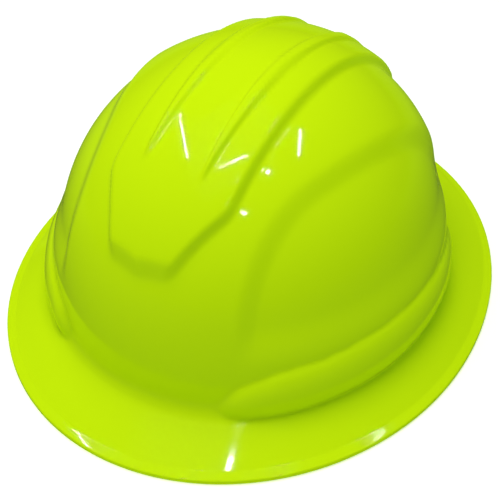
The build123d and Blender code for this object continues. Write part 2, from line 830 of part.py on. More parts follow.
# Knob, scalloped for grip and dished behind
knob_back_y = knob_y + knob_depth
with BuildPart() as knob:
    with BuildSketch(back_plane(knob_y)):
        Circle(knob_diameter / 2)
        with PolarLocations(knob_diameter / 2 + knob_grip_diameter / 4, knob_grips):
            Circle(knob_grip_diameter / 2, mode=Mode.SUBTRACT)
    extrude(amount=knob_depth)
    with BuildSketch(back_plane(knob_back_y)):
        Circle(knob_dish_diameter / 2)
        Circle(screw_head_diameter, mode=Mode.SUBTRACT)
    extrude(amount=-knob_dish_depth, mode=Mode.SUBTRACT)
    add(
        rod(back_plane(knob_y), shaft_diameter + 2 * fit_gap, knob_depth / 2 + fit_gap),
        mode=Mode.SUBTRACT,
    )
    add(rod(back_plane(knob_y), screw_diameter + 2 * fit_gap, knob_depth), mode=Mode.SUBTRACT)
    add(
        rod(back_plane(knob_back_y - screw_head_height), screw_head_diameter + 2 * fit_gap, far),
        mode=Mode.SUBTRACT,
    )
knob.part.label = "knob"
export_step(knob.part, "parts/knob.step")

# Screw that holds the knob on the pinion
with BuildPart() as knob_screw:
    add(rod(back_plane(knob_back_y - screw_head_height), screw_head_diameter, screw_head_height))
    shank_plane = back_plane(knob_back_y - screw_head_height - screw_length)
    add(rod(shank_plane, screw_diameter - 2 * fit_gap, screw_length + screw_head_height / 2))
    with BuildSketch(back_plane(knob_back_y)):
        Rectangle(screw_head_diameter, screw_slot_width)
        Rectangle(screw_slot_width, screw_head_diameter)
    extrude(amount=-screw_slot_depth, mode=Mode.SUBTRACT)
knob_screw.part.label = "knob_screw"
export_step(knob_screw.part, "parts/knob_screw.step")

# Nape pad, on the inner face of the casing
with BuildPart() as nape_pad:
    add(
        band_ring(
            casing_low - pad_gap - pad_thickness,
            casing_low - pad_gap,
            casing_foot + brow_pad_margin,
            casing_height - 2 * brow_pad_margin,
        )
    )
    add(casing_block, mode=Mode.INTERSECT)
nape_pad.part.label = "nape_pad"
export_step(nape_pad.part, "parts/nape_pad.step")
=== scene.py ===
"""Full brim hard hat: the moulded shell, the woven suspension and the finishes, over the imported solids.

The front of the hat looks along -Y, +Z is up, and +X is the wearer's left. Shape values are in millimetres.
"""

from math import atan2, cos, hypot, pi, radians, sin, sqrt

import bmesh
import bpy
import numpy as np
from mathutils import Matrix, Vector


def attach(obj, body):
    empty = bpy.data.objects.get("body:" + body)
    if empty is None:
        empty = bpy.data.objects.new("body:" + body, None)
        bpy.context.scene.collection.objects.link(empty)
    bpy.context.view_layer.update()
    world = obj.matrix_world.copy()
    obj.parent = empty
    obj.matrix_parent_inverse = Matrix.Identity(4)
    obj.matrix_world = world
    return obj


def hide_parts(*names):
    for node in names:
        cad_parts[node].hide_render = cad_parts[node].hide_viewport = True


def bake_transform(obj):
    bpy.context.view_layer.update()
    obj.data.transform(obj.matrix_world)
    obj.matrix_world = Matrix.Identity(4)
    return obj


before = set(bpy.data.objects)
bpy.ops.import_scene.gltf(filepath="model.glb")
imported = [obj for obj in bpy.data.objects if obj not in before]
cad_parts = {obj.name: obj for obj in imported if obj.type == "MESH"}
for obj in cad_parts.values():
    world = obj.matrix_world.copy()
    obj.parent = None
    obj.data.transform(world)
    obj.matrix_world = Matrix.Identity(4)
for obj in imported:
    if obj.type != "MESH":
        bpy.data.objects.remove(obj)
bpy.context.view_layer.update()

MM = 0.001

# Shell values. The main sizes are the solid's. The foot, the band's edges and the swellings are set closer
# to the photograph than the solid's.
BRIM_LENGTH, BRIM_WIDTH = 324.0, 275.0
RIM_WIDTH, RIM_THICKNESS, RIM_ROUND = 6.5, 3.2, 0.9
CREASE_INSET, CREASE_HEIGHT = 5.0, 4.6
# The crease's own three points, each by its inset and height from the crease
CREASE_POINTS = ((0.5, 0.25), (0.0, 0.0), (-0.8, -0.15))
FOOT_RUN, FOOT_HEIGHT, FOOT_TOP, FOOT_POWER = 4.5, 16.4, 27.0, 2.6
BRIM_WALL, SHELL_WALL = 2.8, 2.6
CROWN_LENGTH, CROWN_WIDTH, CROWN_HEIGHT, CROWN_BASE = 242.0, 220.0, 156.0, 19.0
PLAN_POWER, HEIGHT_POWER, CROWN_FORWARD = 1.8, 2.7, 6.0
WALL_TOP = 60.0
BAND_RISE, BAND_HALF, BAND_DRAFT = 3.9, 34.6, 4.6
BAND_KINK, BAND_FRONT, BAND_FRONT_HALF = 76.0, 106.5, 16.0
BAND_KINK_ROUND, BAND_FRONT_DRAFT, BAND_VEE, BAND_BACK = 1.5, 6.0, 0.16, 100.0
PANEL_DROP, PANEL_DRAFT, PANEL_FADE, PANEL_FADE_BAND = 3.2, 12.0, 62.0, 24.0
FIELD_HALF_SHARES = (0.66, 0.70, 0.70, 0.66, 0.60, 0.54, 0.51, 0.50, 0.53, 0.60)
FIELD_FORWARD_SHARES = (-0.90, -0.60, -0.30, 0.0, 0.24, 0.42, 0.56, 0.70, 0.86, 1.0)
POD_HEIGHT, POD_BULGE, POD_POWER = 33.0, 6.0, 0.62
BRIM_SLOPE, POD_SINK_REACH, SWELL_BLEND = 0.6, 12.0, 0.6
POD_ANGLES = (-66.0, -61.0, -52.0, -35.0, -5.0, 20.0, 36.0, 48.0)
POD_HEIGHT_SHARES = (0.20, 0.62, 0.92, 1.0, 1.0, 0.84, 0.58, 0.20)
POD_BULGE_SHARES = (0.0, 0.72, 1.0, 1.0, 0.95, 0.80, 0.50, 0.0)
POD_FOOTS = (12.0, 12.0, 12.3, 14.2, 16.2, 17.0, 17.0, 17.0)
# How much of a drafted wall is a straight ramp; the rest is rounded at its ends
DRAFT_STRAIGHT = 0.45

# The two ribs on the band, which only the visual shell has
RIB_RISE, RIB_PLACE, RIB_HALF, RIB_DRAFT, RIB_TIP, RIB_FULL = 2.0, 16.0, 3.4, 1.8, 72.0, 20.0
RIB_EDGE, RIB_TIP_STEEPNESS, RIB_BACK_INSET, RIB_BACK_RUN = 0.35, 3.2, 6.0, 30.0

# How finely the shell is drawn: columns round it, and each skin's rows on the wall, the vault and the brim
SHELL_COLUMNS, RIM_CORNER_POINTS, VAULT_SAMPLES = 480, 4, 2000
OUTER_WALL_ROWS, OUTER_VAULT_ROWS, OUTER_BRIM_ROWS = 38, 84, 9
INNER_WALL_ROWS, INNER_VAULT_ROWS, INNER_BRIM_ROWS = 14, 26, 4

# Suspension values, the same as the solids'
POCKET_FOOT, POCKET_HEIGHT, POCKET_WALL, POCKET_BACK, POCKET_ROOT = 33.0, 17.0, 2.0, 1.6, 0.5
KEY_GAP, BLADE_WIDTH, BLADE_THICKNESS = 0.25, 26.0, 2.8
BAR_HEIGHT, BAR_WIDTH, ARM_THICKNESS, LOOP_GAP = 29.5, 3.0, 3.0, 0.15
BAR_DISTANCES = (10.8, 12.6, 12.6)
STRAP_WIDTH, STRAP_THICKNESS, STRAP_TOP, STRAP_STEP, SEWN_HEIGHT = 17.0, 1.2, 118.0, 2.5, 17.0
BAND_INNER_HALF, BAND_INNER_FRONT, BAND_INNER_BACK, BAND_WALL = 78.5, 109.5, 76.0, 2.0
BAND_FOOT, BAND_HEIGHT = 6.0, 28.0
CASING_HALF, CASING_LOW, CASING_FOOT, CASING_HEIGHT = 31.0, 0.3, 9.0, 21.0
STATION_ANGLES = (-42.0, 0.0, 38.0)
STRAP_ENDS = (
    ("crown_strap_side", "side_left", "side_right"),
    ("crown_strap_left_front", "front_left", "rear_right"),
    ("crown_strap_right_front", "front_right", "rear_left"),
)
PAD_THICKNESS, PAD_GAP, PAD_MARGIN, BROW_PAD_BACK = 4.4, 0.3, 1.5, -12.0

# Values of the visual pieces alone. A strap's sewn end lies inside its arch from so far above to so far
# below the sewing's height, and the pull sets how it bends from there to the bar.
POCKET_EDGE_ROUND, WELD_DISTANCE = 0.4, 0.01
SEWN_REACH, LEG_PULL = (11.0, -5.0), 14.0
SEWN_POINTS, LEG_POINTS, LOOP_POINTS, ARCH_POINTS = 24, 16, 18, 90
WEBBING_EDGE_POINTS, WEBBING_FLAT_POINTS = 5, 7
STITCH_ROWS, STITCH_COLUMNS, STITCH_TIP = 7, 6, 0.02
STITCH_LENGTH, STITCH_THICKNESS, FOLD_GAP = 2.6, 0.7, 0.08
# Stitches, each by its distance from the strap's end, its place across the strap and its slant: two rows
# along the edges and two short rows across
STITCHES = [(distance, side, 0.0) for distance in np.arange(2.2, 14.0, 3.2) for side in (-6.4, 6.4)]
STITCHES += [(distance, side, pi / 2) for side in (-4.2, -1.4, 1.4, 4.2) for distance in (1.6, 13.4)]
# Powers of the pad's oval, upright and inward, then shares: its rim's and its ends' share of the thickness,
# and its ends' share of the height
PAD_UP_POWER, PAD_IN_POWER, PAD_RIM, PAD_END_THICKNESS, PAD_END_HEIGHT = 0.75, 0.8, 0.22, 0.25, 0.12
# Sewn channels: how far apart, how deep and how wide as shares, and how sharp
BROW_CHANNEL, NAPE_CHANNEL, CHANNEL_DEPTH, CHANNEL_WIDTH, CHANNEL_POWER = 24.0, 20.0, 0.34, 0.07, 1.5
PAD_ROWS, PAD_COLUMNS = 260, 40
# The height of the ratchet's axle, and the distance between the rings on the turned screw, in metres
AXLE_HEIGHT, TURNED_RING_STEP = 0.0195, 0.00025

# The camera at the photograph's angle, in degrees and metres
CAMERA_AZIMUTH, CAMERA_ELEVATION, CAMERA_ROLL, CAMERA_LENS = 31.955, 42.837, 0.084, 84.59
CAMERA_PLACE, CAMERA_REACH = (0.26795, -0.43785, 0.49452), 20.0

# Light levels: the surround on matt surfaces and in mirrored rays, and the paper's own glow for the camera
# alone, which rises with the distance from the hat
SURROUND_LEVEL, MIRROR_LEVEL, PAPER_LEVEL, FAR_PAPER_LEVEL = 0.36, 0.03, 0.35, 1.0
PAPER_GLOW_REACH = (0.5, 1.6)
# The fill light is green and the lamps faintly pink, since the fluorescent lime turns greener in its shade
SURROUND_TINT, LAMP_TINT = "#C6FFB8", "#FFF8F8"
# The photograph's gloss mirrors no white paper, so the paper shows mirrored rays a painted reflection:
# dark near the hat and lime behind it
PAPER, MIRRORED_PAPER, MIRRORED_FAR_PAPER = "#F2F2F0", "#2C2C2C", "#B2CC3C"
MIRRORED_FAR_REACH = 0.35
FLOOR_HALF, FLOOR_DROP = 6000.0, 0.2
LAMP_SIZE, LAMP_AIM = 1.2, (0.0, 0.0, 0.06)
OVERHEAD_LAMP_PLACE, OVERHEAD_LAMP_POWER = (-0.14, -0.16, 1.6), 21.5
LOWER_LAMP_PLACE, LOWER_LAMP_POWER = (0.0, 0.0, -1.6), 20.0
# Small lights in rows, in metres to the right and ahead as the camera looks along the floor: a row's two
# ends, how many lights it has, and half a light's side
LIGHT_HEIGHT, LIGHT_LEVEL = 2.0, 110.0
LIGHT_ROWS = (
    ((-1.20, 0.90), (-1.00, -0.10), 18, 0.011),
    ((-0.40, -0.45), (0.05, -0.30), 13, 0.008),
    ((0.95, 0.35), (1.00, -0.15), 12, 0.010),
    ((0.00, -0.75), (0.00, -0.75), 1, 0.020),
    ((0.45, -0.55), (0.45, -0.55), 1, 0.022),
    ((0.10, -1.45), (0.10, -1.45), 1, 0.028),
)


def smooth(share):
    """Rises from 0 to 1 with level ends: three squares less two cubes of the share, held to 0 to 1."""
    share = np.clip(share, 0.0, 1.0)
    return share * share * (3.0 - 2.0 * share)


def draft(share):
    """A drafted mould wall from 0 to 1: part straight ramp, part smooth rise, which rounds its ends."""
    return DRAFT_STRAIGHT * np.clip(share, 0.0, 1.0) + (1.0 - DRAFT_STRAIGHT) * smooth(share)


def curve(value, stops, levels):
    """A smooth line through the levels at the stops: cubic pieces with slopes taken from the neighbours."""
    stops, levels = np.array(stops), np.array(levels)
    slopes = np.gradient(levels, stops)
    value = np.clip(value, stops[0], stops[-1])
    piece = np.clip(np.searchsorted(stops, value) - 1, 0, len(stops) - 2)
    step = stops[piece + 1] - stops[piece]
    t = (value - stops[piece]) / step
    return (
        (2 * t**3 - 3 * t**2 + 1) * levels[piece]
        + (t**3 - 2 * t**2 + t) * step * slopes[piece]
        + (3 * t**2 - 2 * t**3) * levels[piece + 1]
        + (t**3 - t**2) * step * slopes[piece + 1]
    )


def band_mask(x, forward):
    """1 on the raised band and 0 off it: its half width narrows in a straight line from the kink to the
    shield's foot, which is a shallow vee."""
    slope = (BAND_HALF - BAND_FRONT_HALF) / (BAND_FRONT - BAND_KINK)
    past = np.logaddexp(0.0, (forward - BAND_KINK) / BAND_KINK_ROUND) * BAND_KINK_ROUND
    side = draft((BAND_HALF - past * slope - np.abs(x)) / BAND_DRAFT + 0.5)
    front = draft((BAND_FRONT - BAND_VEE * np.abs(x) - forward) / BAND_FRONT_DRAFT + 0.5)
    back = smooth((BAND_BACK + forward) / BAND_FRONT_DRAFT + 0.5)
    return side * front * back


def rib_mask(x, forward):
    """1 on the two narrow ribs of the band. Their width grows from nothing at the tip, as the root of the
    distance behind it."""
    grown = np.sqrt(np.clip((RIB_TIP - forward) / (RIB_TIP - RIB_FULL), 0.0, 1.0))
    half = RIB_HALF * grown
    top = np.clip(RIB_TIP_STEEPNESS * grown, 0.0, 1.0)
    back = smooth((BAND_BACK - RIB_BACK_INSET + forward) / RIB_BACK_RUN)
    return draft((half - np.abs(np.abs(x) - RIB_PLACE)) / RIB_DRAFT + RIB_EDGE) * top * back


def panel_mask(x, forward, height):
    """1 on the lower side panels, outside a curved line on the plan, fading out towards the foot."""
    half = curve(forward / (CROWN_LENGTH / 2), FIELD_FORWARD_SHARES, FIELD_HALF_SHARES) * CROWN_WIDTH / 2
    side = smooth((np.abs(x) - half) / PANEL_DRAFT + 0.5)
    return side * smooth((height - PANEL_FADE) / PANEL_FADE_BAND + 0.5)


def pod_swell(x, forward, height):
    """The swelling at each side's foot: a rounded bulge whose height and depth follow the angle round the
    crown."""
    angle = np.degrees(np.arctan2(-forward / (CROWN_LENGTH / 2), np.abs(x) / (CROWN_WIDTH / 2)))
    half = np.maximum(curve(angle, POD_ANGLES, POD_HEIGHT_SHARES) * POD_HEIGHT / 2, 0.5)
    bulge = np.maximum(curve(angle, POD_ANGLES, POD_BULGE_SHARES) * POD_BULGE, 0.0)
    bulge = np.where((angle < POD_ANGLES[0]) | (angle > POD_ANGLES[-1]), 0.0, bulge)
    offset = (height - curve(angle, POD_ANGLES, POD_FOOTS) - half) / half
    return bulge * np.clip(1.0 - offset * offset, 0.0, 1.0) ** POD_POWER


def crown_rows(heights, levels):
    """Radius and rise of the crown's rows, as shares: radius to the plan power plus rise to the height
    power is one. Wall rows are given by their height, vault rows by an angle that is zero at the pole."""
    wall_rise = np.clip((heights - CROWN_BASE) / (CROWN_HEIGHT - CROWN_BASE), 0.0, 1.0)
    wall_radius = (1.0 - wall_rise**HEIGHT_POWER) ** (1.0 / PLAN_POWER)
    vault_radius = np.sin(levels) ** (2.0 / PLAN_POWER)
    vault_rise = np.cos(levels) ** (2.0 / HEIGHT_POWER)
    return np.concatenate([wall_radius, vault_radius]), np.concatenate([wall_rise, vault_rise])


def vault_levels(rows):
    """Angles from the wall's top to the pole, set so that the rows lie equally far apart along the skin."""
    start = np.arccos(((WALL_TOP - CROWN_BASE) / (CROWN_HEIGHT - CROWN_BASE)) ** (HEIGHT_POWER / 2))
    fine = np.linspace(start, 0.0, VAULT_SAMPLES)
    radius, rise = np.sin(fine) ** (2 / PLAN_POWER), np.cos(fine) ** (2 / HEIGHT_POWER)
    steps = np.hypot(np.diff(radius) * CROWN_LENGTH / 2, np.diff(rise) * (CROWN_HEIGHT - CROWN_BASE))
    length = np.concatenate([[0.0], np.cumsum(steps)])
    return np.interp(np.linspace(0.0, length[-1], rows + 1)[1:], length, fine)


def crown(turn, heights, levels, grow):
    """The crown's skin: each row of the dome is moved out by the band, ribs and pods, and in by the side
    panels. Below the foot's top the wall runs out into the brim in a hollow curve, a power of the height
    left. Where a pod reaches out over the brim, its lowest rows sink along the brim's slope. The inner
    skin, which has a grow below zero, has no ribs and no pods."""
    radius, rise = crown_rows(heights, levels)
    radius, rise = radius[:, None], rise[:, None]
    low = np.concatenate([heights, np.full(len(levels), FOOT_TOP)])[:, None]
    x = CROWN_WIDTH / 2 * radius * np.cos(turn)
    forward = -CROWN_LENGTH / 2 * radius * np.sin(turn)
    height = CROWN_BASE + (CROWN_HEIGHT - CROWN_BASE) * rise
    height = np.where(low < CROWN_BASE, low, height) + 0.0 * x
    out = grow + BAND_RISE * band_mask(x, forward) - PANEL_DROP * panel_mask(x, forward, height)
    if grow == 0.0:
        out = out + RIB_RISE * rib_mask(x, forward)
    run = FOOT_RUN * np.clip((FOOT_TOP - low) / (FOOT_TOP - FOOT_HEIGHT), 0.0, 1.0) ** FOOT_POWER
    pod = pod_swell(x, forward, height) if grow == 0.0 else 0.0 * x
    joined = np.logaddexp(run / SWELL_BLEND, pod / SWELL_BLEND)
    swell = SWELL_BLEND * (joined - np.log(2.0) * np.exp(-(run + pod) / SWELL_BLEND))
    near_foot = np.clip(1.0 - (low - FOOT_HEIGHT) / POD_SINK_REACH, 0.0, 1.0)
    height = height + out * rise - BRIM_SLOPE * np.maximum(swell - FOOT_RUN, 0.0) * near_foot
    out = out + swell
    y = (CROWN_LENGTH / 2 + out) * radius * np.sin(turn) - CROWN_FORWARD
    x = (CROWN_WIDTH / 2 + out) * radius * np.cos(turn)
    return np.stack([x, y, height], axis=-1)


def rim(turn, inset, height):
    """Rows of the brim's outline, two half ellipses that meet beside the crown's middle."""
    inset, height = np.array(inset)[:, None], np.array(height)[:, None]
    reach = np.where(np.sin(turn) < 0, BRIM_LENGTH / 2 - CROWN_FORWARD, BRIM_LENGTH / 2 + CROWN_FORWARD)
    x = (BRIM_WIDTH / 2 - inset) * np.cos(turn)
    y = (reach - inset) * np.sin(turn) - CROWN_FORWARD
    return np.stack([x, y, height + 0.0 * x], axis=-1)


def ruled(start, end, rows):
    """Rows in between two rows, along straight lines."""
    share = np.linspace(0.0, 1.0, rows + 2)[1:-1, None, None]
    return start[None] * (1.0 - share) + end[None] * share


def grid_faces(rows, columns, first=0):
    """Four corner faces of a grid that closes on itself along its columns."""
    row = np.arange(rows - 1)[:, None] * columns + first
    column = np.arange(columns)[None]
    after = (column + 1) % columns
    corners = [row + column, row + after, row + columns + after, row + columns + column]
    return np.stack(corners, axis=-1).reshape(-1, 4)


def pole_fans(rows, columns):
    """Three corner faces from a grid's first and last row to two poles, whose points follow the grid's."""
    column = np.arange(columns)
    after = (column + 1) % columns
    pole = np.full(columns, rows * columns)
    last = (rows - 1) * columns
    first_fan = np.stack([after, column, pole], axis=-1)
    last_fan = np.stack([last + column, last + after, pole + 1], axis=-1)
    return np.concatenate([first_fan, last_fan])


def end_fans(rows, columns):
    """Three corner faces that close a grid's first and last row, as fans from each row's first corner."""
    corner = np.arange(1, columns - 1)
    first_fan = np.stack([0 * corner, corner + 1, corner], axis=-1)
    last_fan = np.stack([0 * corner, corner, corner + 1], axis=-1) + (rows - 1) * columns
    return np.concatenate([first_fan, last_fan])


def directions(path):
    """Unit directions along a path."""
    way = np.gradient(path, axis=0)
    return way / np.linalg.norm(way, axis=1, keepdims=True)


def lengths(path):
    """How far along a path each of its points lies."""
    return np.concatenate([[0.0], np.cumsum(np.linalg.norm(np.diff(path, axis=0), axis=1))])


def make_piece(name, points, quads, triangles=None, uv=None):
    """A mesh object from arrays of points in millimetres, four corner faces and three corner faces."""
    corners = quads.ravel()
    totals = np.full(len(quads), 4)
    if triangles is not None:
        corners = np.concatenate([corners, triangles.ravel()])
        totals = np.concatenate([totals, np.full(len(triangles), 3)])
    mesh = bpy.data.meshes.new(name)
    mesh.vertices.add(len(points))
    mesh.vertices.foreach_set("co", (points * MM).astype(np.float32).ravel())
    mesh.loops.add(len(corners))
    mesh.loops.foreach_set("vertex_index", corners.astype(np.int32))
    mesh.polygons.add(len(totals))
    starts = np.concatenate([[0], np.cumsum(totals)[:-1]])
    mesh.polygons.foreach_set("loop_start", starts.astype(np.int32))
    mesh.polygons.foreach_set("loop_total", totals.astype(np.int32))
    mesh.update(calc_edges=True)
    if uv is not None:
        layer = mesh.uv_layers.new(name="UVMap")
        layer.data.foreach_set("uv", uv[corners].astype(np.float32).ravel())
    mesh.polygons.foreach_set("use_smooth", np.ones(len(totals), bool))
    mesh.validate()
    piece = bpy.data.objects.new(name, mesh)
    bpy.context.scene.collection.objects.link(piece)
    return piece


def make_shell():
    """The moulded shell as one closed skin: outer crown from its pole down to the brim, round the rim, and
    the inner skin back up to its pole."""
    turn = np.linspace(0.0, 2 * pi, SHELL_COLUMNS, endpoint=False)[None]
    outer_wall = np.linspace(FOOT_HEIGHT, WALL_TOP, OUTER_WALL_ROWS)
    outer = crown(turn, outer_wall, vault_levels(OUTER_VAULT_ROWS), 0.0)
    top = outer[-1].mean(axis=0)
    outer = outer[:-1][::-1]
    crease = rim(turn, [CREASE_INSET], [CREASE_HEIGHT])[0]
    brim = ruled(outer[-1], crease, OUTER_BRIM_ROWS)
    corner = np.linspace(0.0, pi / 2, RIM_CORNER_POINTS)
    rounding = RIM_ROUND * (1.0 - np.sin(corner))
    drop = RIM_ROUND * (1.0 - np.cos(corner))
    insets, rises = (np.array([CREASE_INSET, CREASE_HEIGHT]) + CREASE_POINTS).T
    insets = [*insets, *rounding, *rounding[::-1], RIM_WIDTH]
    rises = [*rises, *(RIM_THICKNESS - drop), *drop[::-1], 0.0]
    lip = rim(turn, insets, rises)
    inner_wall = np.linspace(FOOT_HEIGHT, WALL_TOP, INNER_WALL_ROWS)
    inner = crown(turn, inner_wall, vault_levels(INNER_VAULT_ROWS), -SHELL_WALL)
    under = inner[:1] + np.array([0.0, 0.0, -BRIM_WALL])
    inner_top = inner[-1].mean(axis=0)
    skin = np.concatenate([outer, brim, lip, ruled(lip[-1], under[0], INNER_BRIM_ROWS), under, inner[:-1]])
    points = np.concatenate([skin.reshape(-1, 3), [top, inner_top]])
    quads = grid_faces(len(skin), SHELL_COLUMNS)
    caps = pole_fans(len(skin), SHELL_COLUMNS)
    return make_piece("moulded_shell", points, quads[:, ::-1], caps[:, ::-1])


shell = make_shell()
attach(shell, "shell")
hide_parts("shell")


def find_stations():
    """The six places where a key sits: its plan point on the crown's inner skin, the way it faces there,
    and its bar's distance in from the skin. Each lies square out from its ear on the headband."""
    frames = {}
    inner = (CROWN_WIDTH / 2 - SHELL_WALL, CROWN_LENGTH / 2 - SHELL_WALL)
    for place, angle, bar in zip(("front", "side", "rear"), STATION_ANGLES, BAR_DISTANCES):
        reach = (BAND_INNER_FRONT if angle < 0 else BAND_INNER_BACK) + BAND_WALL
        half = BAND_INNER_HALF + BAND_WALL
        for hand, side in (("left", 1), ("right", -1)):
            x, y = side * half * cos(radians(angle)), reach * sin(radians(angle))
            normal = atan2(y / reach**2, x / half**2)
            dx, dy = cos(normal) / inner[0], sin(normal) / inner[1]
            px, py = x / inner[0], y / inner[1]
            # How far out the inner skin lies is the larger root of a * run**2 + 2 * b * run + c = 0
            a, b, c = dx * dx + dy * dy, px * dx + py * dy, px * px + py * py - 1.0
            run = (sqrt(b * b - a * c) - b) / a
            wall_x, wall_y = x + run * cos(normal), y + run * sin(normal)
            facing = atan2(wall_y / inner[1] ** 2, wall_x / inner[0] ** 2)
            frames[f"{place}_{hand}"] = (wall_x, wall_y - CROWN_FORWARD, facing, bar)
    return frames


stations = find_stations()


def on_plan(station, out, along):
    """Plan point at distances out from and along the inner skin at a station."""
    x, y, facing, _ = stations[station]
    outward, sideways = np.array([cos(facing), sin(facing)]), np.array([-sin(facing), cos(facing)])
    return np.array([x, y]) + out * outward + along * sideways


def make_pockets():
    """Six boxes on the inner skin, each with a slot that is open below: an outer and an inner ring of
    corners at the foot and at the top, joined ring by ring and closed at the two tops."""
    slot_near = -POCKET_BACK - BLADE_THICKNESS - 2 * KEY_GAP
    outer = ((POCKET_ROOT, slot_near - POCKET_WALL), BLADE_WIDTH / 2 + KEY_GAP + POCKET_WALL)
    inner = ((-POCKET_BACK, slot_near), BLADE_WIDTH / 2 + KEY_GAP)
    points, quads = [], []
    for station in stations:
        first = len(points)
        for (far, near), half in (outer, inner):
            corners = ((far, -half), (far, half), (near, half), (near, -half))
            ring = [on_plan(station, out, along) for out, along in corners]
            top = POCKET_FOOT + POCKET_HEIGHT - (POCKET_WALL if far < 0 else 0.0)
            points += [(*corner, POCKET_FOOT) for corner in ring] + [(*corner, top) for corner in ring]
        faces = []
        for corner in range(4):
            after = (corner + 1) % 4
            faces.append([corner, after, after + 4, corner + 4])
            faces.append([after + 8, corner + 8, corner + 12, after + 12])
            faces.append([after, corner, corner + 8, after + 8])
        faces += [[4, 5, 6, 7], [15, 14, 13, 12]]
        quads += [[index + first for index in face] for face in faces]
    piece = make_piece("key_pockets", np.array(points), np.array(quads))
    edge = piece.modifiers.new("mould_radius", "BEVEL")
    edge.width, edge.segments = POCKET_EDGE_ROUND * MM, 2
    return piece


pockets = make_pockets()
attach(pockets, "shell")


def grid_uv(along, across):
    """A grid's UV places in metres, from millimetres along its rows and across its columns."""
    return np.stack(np.broadcast_arrays(along[:, None], across[None]), axis=-1).reshape(-1, 2) * MM


def carry(path, across, section):
    """A section carried along a path: each of its points is so far out along the path's own normal and so
    far along the fixed direction across. The path lies square to across."""
    normal = np.cross(across, directions(path))
    points = path[:, None] + normal[:, None] * section[None, :, :1] + across * section[None, :, 1:]
    uv = grid_uv(lengths(path), section[:, 1])
    quads, caps = grid_faces(*points.shape[:2]), end_fans(*points.shape[:2])
    return points.reshape(-1, 3), quads[:, ::-1], caps[:, ::-1], uv


def ribbon_section(width, thickness):
    """A flat strap's section: two flat faces joined by half round edges."""
    half = width / 2 - thickness / 2
    turn = np.linspace(-pi / 2, pi / 2, WEBBING_EDGE_POINTS)
    edge = np.stack([thickness / 2 * np.sin(turn), half + thickness / 2 * np.cos(turn)], axis=-1)
    place = np.linspace(half, -half, WEBBING_FLAT_POINTS + 2)[1:-1]
    flat = np.stack([np.full(WEBBING_FLAT_POINTS, thickness / 2), place], axis=-1)
    return np.concatenate([edge, flat, -edge, -flat])


def hermite(start, start_way, end, end_way, count):
    """Points on the cubic curve that leaves one point and reaches another in given directions."""
    t = np.linspace(0.0, 1.0, count)[:, None]
    return (
        (2 * t**3 - 3 * t**2 + 1) * start
        + (t**3 - 2 * t**2 + t) * start_way
        + (3 * t**2 - 2 * t**3) * end
        + (t**3 - t**2) * end_way
    )


def strap_line(half_span, rise):
    """Half of a crown strap's middle line: from its sewn end down a leg inside the arch, round under the
    bar in a half circle, and up to the top of the head on a quarter of an ellipse."""
    loop = hypot(BAR_WIDTH, ARM_THICKNESS) / 2 + LOOP_GAP + STRAP_THICKNESS / 2
    half, rise = half_span + loop, rise + STRAP_THICKNESS / 2

    def arch(turn, inset):
        """A point of the arch moved in square to it."""
        way = np.stack([np.cos(turn) / half, np.sin(turn) / rise], axis=-1)
        way /= np.linalg.norm(way, axis=-1, keepdims=True)
        return np.stack([half * np.cos(turn), rise * np.sin(turn)], axis=-1) - inset * way

    sewn = np.arcsin((SEWN_HEIGHT + np.linspace(*SEWN_REACH, SEWN_POINTS)) / rise)
    flat_leg = arch(sewn, STRAP_THICKNESS + FOLD_GAP)
    heading = (flat_leg[-1] - flat_leg[-2]) / np.linalg.norm(flat_leg[-1] - flat_leg[-2])
    bottom = np.array([half_span - loop, 0.0])
    leg = hermite(flat_leg[-1], heading * LEG_PULL, bottom, np.array([0.0, -LEG_PULL]), LEG_POINTS)[1:]
    turn = np.linspace(pi, 2 * pi, LOOP_POINTS)[1:]
    under = np.stack([half_span + loop * np.cos(turn), loop * np.sin(turn)], axis=-1)
    over = arch(np.linspace(0.0, pi / 2, ARCH_POINTS)[1:], 0.0)
    return np.concatenate([flat_leg, leg, under, over])


def make_straps():
    """The three crown straps, and for the sewing each one's middle line with the direction across it."""
    section = ribbon_section(STRAP_WIDTH, STRAP_THICKNESS)
    straps, lines = [], []
    for layer, (name, first, second) in enumerate(STRAP_ENDS):
        ends = [on_plan(place, -stations[place][3], 0.0) for place in (first, second)]
        middle, half_span = (ends[0] + ends[1]) / 2, np.linalg.norm(ends[0] - ends[1]) / 2
        way = (ends[0] - ends[1]) / (2 * half_span)
        line = strap_line(half_span, STRAP_TOP - BAR_HEIGHT + layer * STRAP_STEP)
        line = np.concatenate([line, line[-2::-1] * np.array([-1.0, 1.0])])
        path = np.column_stack([middle + line[:, :1] * way, BAR_HEIGHT + line[:, 1]])
        across = np.array([-way[1], way[0], 0.0])
        strap = make_piece(name + "_webbing", *carry(path, across, section))
        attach(strap, "cradle")
        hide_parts(name)
        straps.append(strap)
        lines.append((path, across))
    return straps, lines


straps, strap_lines = make_straps()


